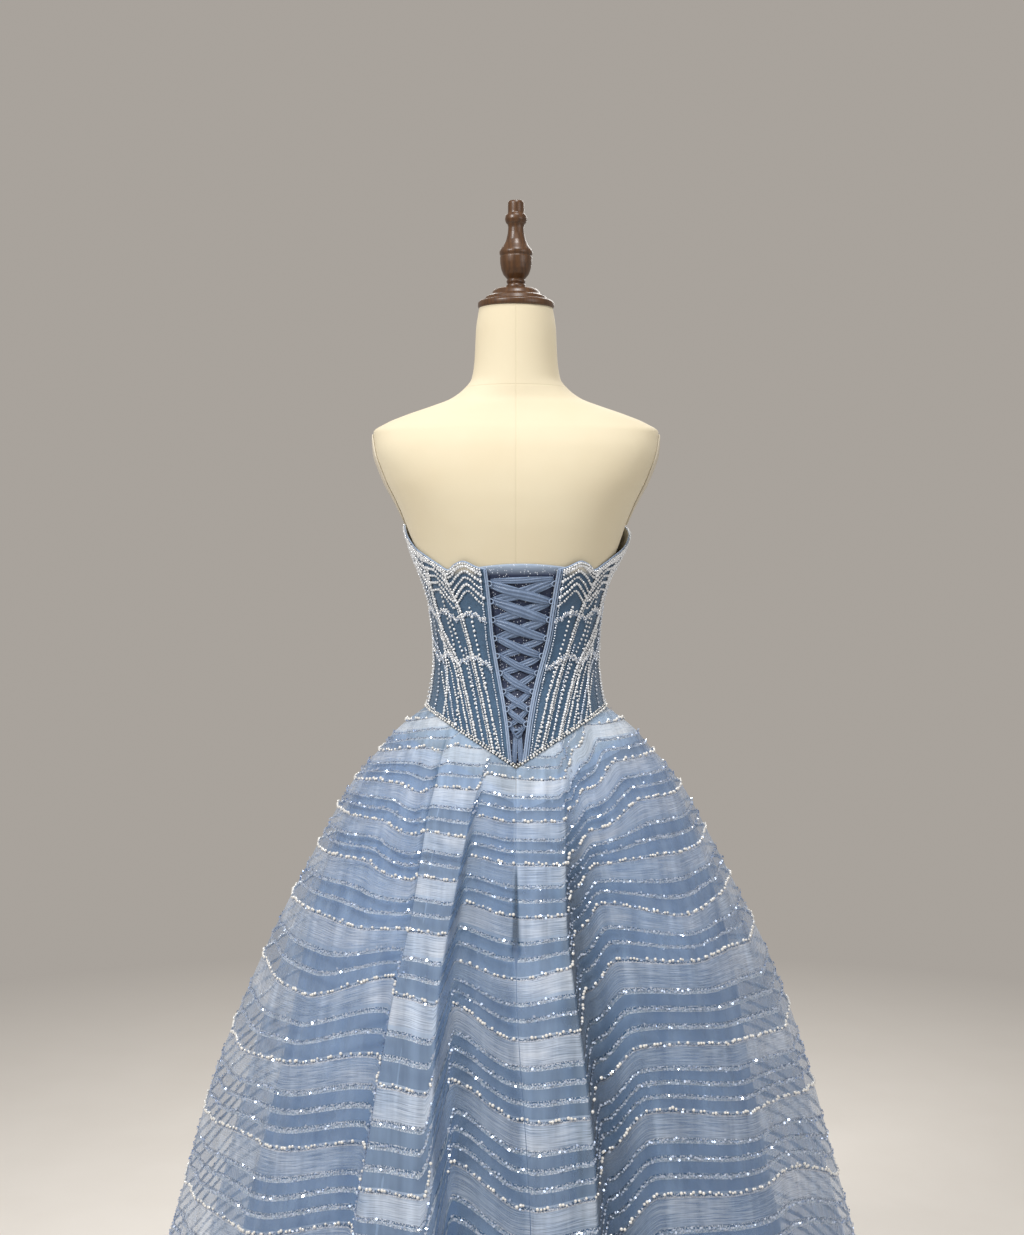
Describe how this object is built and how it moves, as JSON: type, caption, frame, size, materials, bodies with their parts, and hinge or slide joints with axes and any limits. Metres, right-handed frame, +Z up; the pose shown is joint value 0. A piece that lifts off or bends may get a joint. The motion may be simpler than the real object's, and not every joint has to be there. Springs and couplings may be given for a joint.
{
  "type": "ball gown on dress form",
  "caption": "Strapless ball gown with a beaded basque bodice, lace-up corset back and full banded organza skirt, on a limbless dress form with a turned wooden neck cap.",
  "frame": {"origin": "on the floor under the dress form's vertical axis, at the middle of the bounding box's bottom", "axes": "+Z up; the gown's laced back faces -Y and its front +Y; +X is the right of someone facing the back"},
  "size_m": [1.0856, 1.0978, 1.6899],
  "materials": {
    "skirt_organza": "sheer striped organza, beaded",
    "underskirt_cloth": "plain satin",
    "bodice_cloth": "beaded organza over satin",
    "modesty_cloth": "sparkling woven",
    "satin_ribbon": "satin",
    "bead_trim": "rows of small beads on tape",
    "cotton_cover": "matte cotton",
    "arm_plates": "matte cloth",
    "turned_wood": "satin varnish",
    "stand_steel": "brushed"
  },
  "bodies": {
    "root": {"form_body": "cotton_cover", "arm_plate_left": "arm_plates", "arm_plate_right": "arm_plates", "neck_cap": "turned_wood", "finial": "turned_wood", "stand_base": "stand_steel", "stand_pole": "stand_steel", "bodice_back_left": "bodice_cloth", "bodice_back_right": "bodice_cloth", "bodice_side_back_left": "bodice_cloth", "bodice_side_back_right": "bodice_cloth", "bodice_side_front_left": "bodice_cloth", "bodice_side_front_right": "bodice_cloth", "bodice_front": "bodice_cloth", "modesty_panel": "modesty_cloth", "lacing": "satin_ribbon", "loop_tape_left": "satin_ribbon", "loop_tape_right": "satin_ribbon", "waist_trim": "bead_trim", "skirt_back_left": "skirt_organza", "skirt_back_right": "skirt_organza", "skirt_front": "skirt_organza", "underskirt": "underskirt_cloth"}
  },
  "joints": []
}
